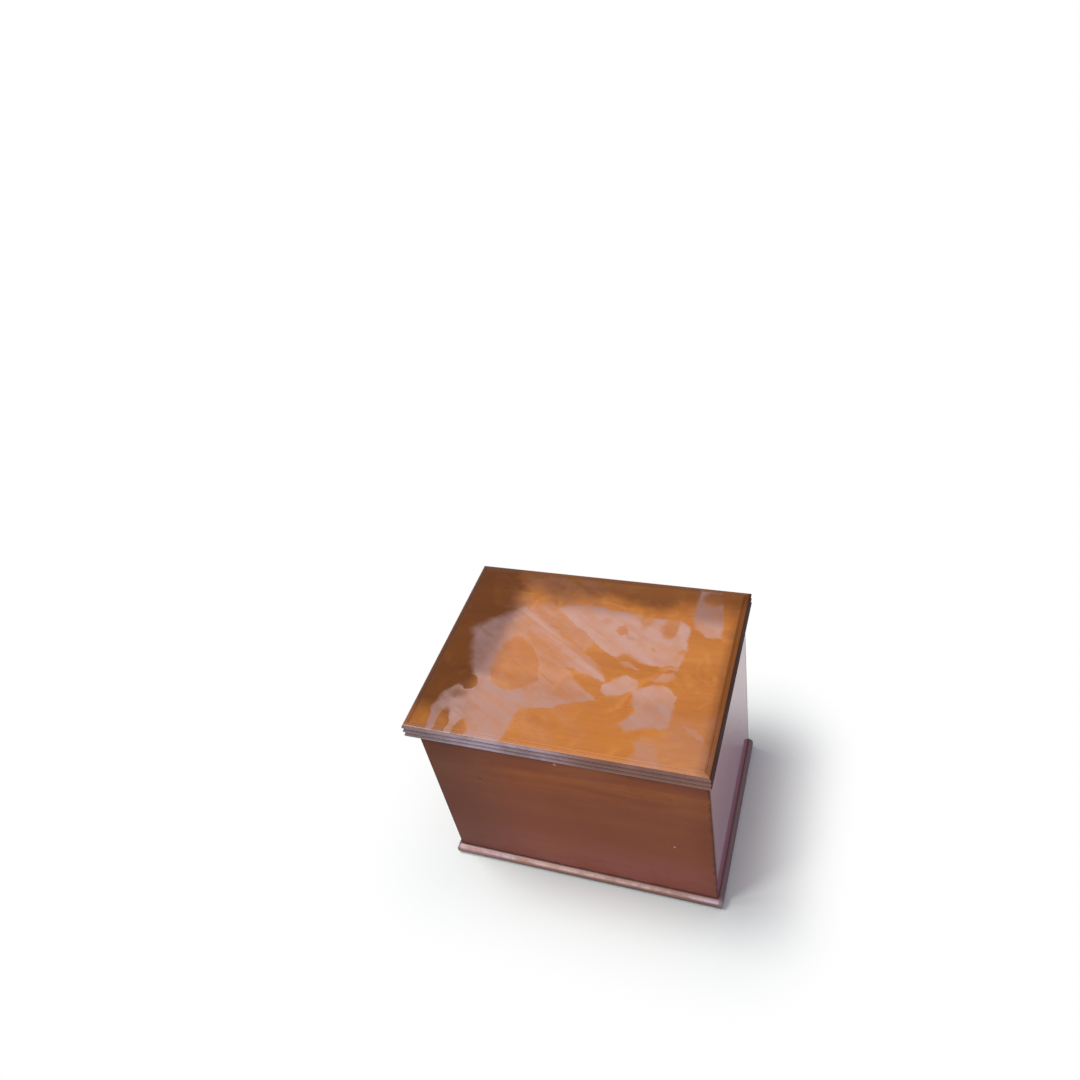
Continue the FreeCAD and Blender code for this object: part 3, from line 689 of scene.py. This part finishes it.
def base_finish():
    """Red-brown mahogany with a painted highlight along its round front edge, painted contact shadow under it
    and painted shade on its right end, dry on top inside and underneath.
    """
    finish, bench, shader, place = new_finish("base_board_polish")
    colour, height = dressed_wood(bench, place, "xyz", 21.0, RED_WOOD)
    dry, _ = dressed_wood(bench, place, "xyz", 22.0, DRY_WOOD)
    low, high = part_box("base_board")
    x, y, z = bench.parts(place)
    rubbed = bench.noise(along_grain(bench, place, "xyz"), BEAD_RUB_WAVES, detail=4, rough=0.65)
    # Painted highlight along the shoulder of the round front edge, broken up like wear
    shoulder = bench.times(bench.ease(z, *BEAD_LOW), bench.ease(z, *BEAD_HIGH, 1, 0.3))
    front = bench.ease(y, low.y + BEAD_IN[0], low.y + BEAD_IN[1], 1, 0)
    wear_and_highlight = bench.times(shoulder, front, bench.ease(rubbed, 0.35, 0.62, 0.4, 1))
    toward_ends = bench.most(bench.ease(x, *PALE_LEFT, 0.9, 0), bench.ease(x, *PALE_RIGHT, 0, 0.9))
    pale = bench.blend(toward_ends, BEAD_HIGHLIGHT, BEAD_END_HIGHLIGHT)
    colour = bench.blend(bench.times(wear_and_highlight, 0.95), colour, pale)
    # Painted contact shadow under the bead, and grime along the joint with the front board and at the left
    # end
    foot = bench.ease(z, *BEAD_FOOT, 1, 0)
    corner = bench.ease(y, FRONT_Y - CORNER_IN[0], FRONT_Y - CORNER_IN[1])
    left_end = bench.ease(x, low.x + END_IN[0], low.x + END_IN[1], 0.6, 0)
    colour = bench.blend(bench.times(bench.most(foot, corner, left_end), 0.85), colour, DIRT_AND_SHADE)
    # Painted shade on the right end of the base
    right_end = bench.ease(x, high.x - END_IN[1], high.x - END_IN[0], 0, 0.8)
    colour = bench.blend(right_end, colour, BASE_END_SHADE)
    marks = bench.effect(scuffs, {"Place": place})
    colour = bench.blend(bench.times(marks["Specks"], 0.5), colour, DIRT_AND_SHADE)
    under = bench.ease(z, low.z + UNDERSIDE[0], low.z + UNDERSIDE[1], 1, 0)
    bare = bench.most(unpolished(bench, place), under)
    bench.join(bench.blend(bare, colour, dry), shader.inputs["Base Color"])
    gloss = bench.ease(rubbed, 0.3, 0.7, 0.36, 0.46)
    dull = bench.most(bench.times(foot, 0.3), bench.times(bare, 0.5))
    bench.join(bench.plus(gloss, dull, clamp=True), shader.inputs["Roughness"])
    bench.join(front, shader.inputs["Coat Weight"])
    set_plain(shader, {"Specular IOR Level": 0.4, "Coat Roughness": 0.4})
    relief(bench, shader, bench.minus(height, marks["Scratches"]), BOARD_RELIEF)
    return finish


PINE_LINE = paint(120, 74, 40)
PINE_WOOD = (paint(206, 160, 104), paint(170, 118, 70), PINE_LINE)
PINE_SOIL = 0.003
BLOCK_SEEDS = {"front_left": 40.0, "front_right": 41.0, "back_right": 42.0, "back_left": 43.0}


def block_finish(node, seed):
    """Bare pine gone brown with age, its edges softened and soiled."""
    finish, bench, shader, place = new_finish(f"{node}_pine")
    colour, height = dressed_wood(bench, place, "zxy", seed, PINE_WOOD)
    soiled = worn_edges(bench, place, node, PINE_SOIL)
    dusty = bench.noise(place, DUST_WAVES, detail=4, rough=0.6)
    colour = bench.blend(bench.times(soiled, 0.4), colour, PINE_LINE)
    colour = bench.blend(bench.ease(dusty, 0.5, 0.8, 0, 0.35), colour, DRY_DEEP)
    bench.join(colour, shader.inputs["Base Color"])
    bench.join(bench.ease(dusty, 0.3, 0.7, 0.6, 0.85), shader.inputs["Roughness"])
    relief(bench, shader, height, PINE_RELIEF)
    return finish


# Old metals: the bright ground, the tarnish, the soil and how rough the bright ground is
HINGE_BRASS = (paint(214, 176, 104), paint(132, 98, 54), paint(70, 52, 36), 0.28)
PIN_STEEL = (paint(170, 166, 160), paint(110, 102, 94), paint(64, 48, 40), 0.3)
SCREW_STEEL = (paint(140, 134, 128), paint(86, 76, 68), paint(74, 46, 34), 0.4)
# Waves in a metre of metal: clouds of tarnish, marks of the brush, and how much finer the scuffs are
TARNISH_WAVES = 160
BRUSH_WAVES = (300, 5200, 5200)
FINER_SCUFFS = (4, 4, 4)


def metal_finish(name, bright, tarnish, soil, rough):
    """Old worked metal: a bright ground, tarnish in clouds and soil in specks."""
    finish, bench, shader, place = new_finish(name)
    cloud = bench.noise(place, TARNISH_WAVES, detail=4, rough=0.6)
    brushed = bench.noise(bench.vector("MULTIPLY", place, BRUSH_WAVES), 1)
    marks = bench.effect(scuffs, {"Place": bench.vector("MULTIPLY", place, FINER_SCUFFS)})
    colour = bench.blend(bench.ease(cloud, 0.35, 0.68), bright, tarnish)
    colour = bench.blend(bench.times(marks["Specks"], 0.7), colour, soil)
    bench.join(colour, shader.inputs["Base Color"])
    bench.join(bench.ease(cloud, 0.3, 0.7, rough, rough + 0.2), shader.inputs["Roughness"])
    set_plain(shader, {"Metallic": 1.0})
    relief(bench, shader, bench.minus(brushed, marks["Scratches"]), METAL_RELIEF)
    return finish


def dress(node, finish):
    PIECES[node].material_slots[0].material = finish


def dress_box():
    """Give every piece of the box its own finish."""
    for node, looks in BOARDS.items():
        dress(node, board_finish(node, **looks))
    dress("base_board", base_finish())
    dress("lid_panel", lid_finish())
    for node, looks in MOULDINGS.items():
        dress(node, reeded_finish(node, **looks))
    for corner, seed in BLOCK_SEEDS.items():
        node = f"corner_block_{corner}"
        dress(node, block_finish(node, seed))
    brass = metal_finish("hinge_brass_aged", *HINGE_BRASS)
    pin = metal_finish("hinge_pin_steel", *PIN_STEEL)
    screw = metal_finish("base_screw_steel", *SCREW_STEEL)
    for side in ("left", "right"):
        dress(f"back_leaf_{side}", brass)
        dress(f"lid_leaf_{side}", brass)
        dress(f"hinge_pin_{side}", pin)
    dress("back_leaf_screws", brass)
    dress("lid_leaf_screws", brass)
    dress("base_screws", screw)


def seen_rays(bench):
    """1 for rays that show the background itself: straight, mirrored or through glass."""
    path = bench.lay("ShaderNodeLightPath").outputs
    mirrored = bench.most(path["Is Glossy Ray"], path["Is Transmission Ray"])
    return bench.most(path["Is Camera Ray"], mirrored)


FLOOR_PALE = (0.93, 1.0, 0.985, 1.0)
FLOOR_BOUNCE = (0.45, 0.45, 0.45, 1.0)
FLOOR_REACH = 40.0
FLOOR_DROP = 0.0005
# How far from the foot of the box the floor is white
WHITE_FROM = 0.17


def set_floor():
    """A plain pale floor that takes the box's shadow and runs out to white."""
    corners = [(x * FLOOR_REACH, y * FLOOR_REACH, 0) for x, y in ((-1, -1), (1, -1), (1, 1), (-1, 1))]
    sheet = bpy.data.meshes.new("floor")
    sheet.from_pydata(corners, [], [(0, 1, 2, 3)])
    floor = bpy.data.objects.new("floor", sheet)
    floor.location.z = -FLOOR_DROP
    bpy.context.scene.collection.objects.link(floor)
    pale = bpy.data.materials.new("pale_floor")
    pale.use_nodes = True
    bench = Bench(pale.node_tree)
    pale.node_tree.nodes.remove(pale.node_tree.nodes["Principled BSDF"])
    seen = seen_rays(bench)
    matt = bench.lay("ShaderNodeBsdfDiffuse", {"Color": bench.blend(seen, FLOOR_BOUNCE, FLOOR_PALE)})
    white = bench.lay("ShaderNodeEmission", {"Color": WHITE, "Strength": 1.0})
    place = bench.lay("ShaderNodeTexCoord").outputs["Object"]
    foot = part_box("base_board")[1]
    beside = bench.vector("SUBTRACT", bench.vector("ABSOLUTE", place), (foot.x, foot.y, 0))
    clear = bench.vector("LENGTH", bench.vector("MAXIMUM", beside, (0, 0, 0)))
    share = bench.times(bench.ease(clear, 0, WHITE_FROM), seen)
    mixed = bench.lay("ShaderNodeMixShader", {0: share, 1: matt.outputs[0], 2: white.outputs[0]})
    bench.join(mixed.outputs[0], pale.node_tree.nodes["Material Output"].inputs["Surface"])
    sheet.materials.append(pale)


# The lamps: where each hangs, how wide it is, its power in watts and its colour
LAMPS = {
    "high_lamp": dict(stand=(-1.4, -0.05, 4.0), size=1.4, energy=80, colour=(1.0, 0.97, 0.93)),
    "front_lamp": dict(stand=(-1.56, -1.56, 2.8), size=0.8, energy=25, colour=(1.0, 0.98, 0.96)),
}
LAMP_TARGET = Vector((0, 0, 0.2))
ROOM_LIGHT = (0.388, 0.377, 0.42, 1.0)


def hang_lamp(name, stand, size, energy, colour):
    """A round soft lamp that looks at the middle of the box."""
    lamp = bpy.data.lights.new(name, "AREA")
    lamp.shape = "DISK"
    lamp.size = size
    lamp.energy = energy
    lamp.color = colour
    holder = bpy.data.objects.new(name, lamp)
    holder.location = stand
    holder.rotation_euler = (LAMP_TARGET - Vector(stand)).to_track_quat("-Z", "Y").to_euler()
    bpy.context.scene.collection.objects.link(holder)


def set_light():
    """Soft, slightly cool light all round, a large lamp high on the left and a weak one in front of it."""
    world = bpy.data.worlds.new("studio")
    bpy.context.scene.world = world
    world.use_nodes = True
    bench = Bench(world.node_tree)
    ground = world.node_tree.nodes["Background"]
    bench.join(bench.blend(seen_rays(bench), ROOM_LIGHT, WHITE), ground.inputs["Color"])
    ground.inputs["Strength"].default_value = 1.0
    for name, lamp in LAMPS.items():
        hang_lamp(name, **lamp)


# The camera: its lens and film in mm, where it stands, and its heading, fall and roll in degrees
LENS, FILM = 30.521, 36
CAMERA_STAND = (0.35107, -0.75863, 1.24483)
HEADING, FALL, ROLL = 26.263, 39.980, -12.312
NEAREST, FARTHEST = 0.01, 200


def set_camera():
    """A hand-held view from high on the right, a little rolled."""
    lens = bpy.data.cameras.new("camera")
    lens.sensor_fit = "HORIZONTAL"
    lens.sensor_width = FILM
    lens.lens = LENS
    lens.clip_start = NEAREST
    lens.clip_end = FARTHEST
    camera = bpy.data.objects.new("camera", lens)
    heading = Matrix.Rotation(math.radians(HEADING), 4, "Z")
    tilt = Matrix.Rotation(math.radians(90 - FALL), 4, "X")
    roll = Matrix.Rotation(math.radians(ROLL), 4, "Z")
    camera.matrix_world = Matrix.Translation(CAMERA_STAND) @ heading @ tilt @ roll
    bpy.context.scene.collection.objects.link(camera)
    bpy.context.scene.camera = camera


dress_box()
set_floor()
set_light()
set_camera()
bpy.context.scene.view_settings.view_transform = "Standard"
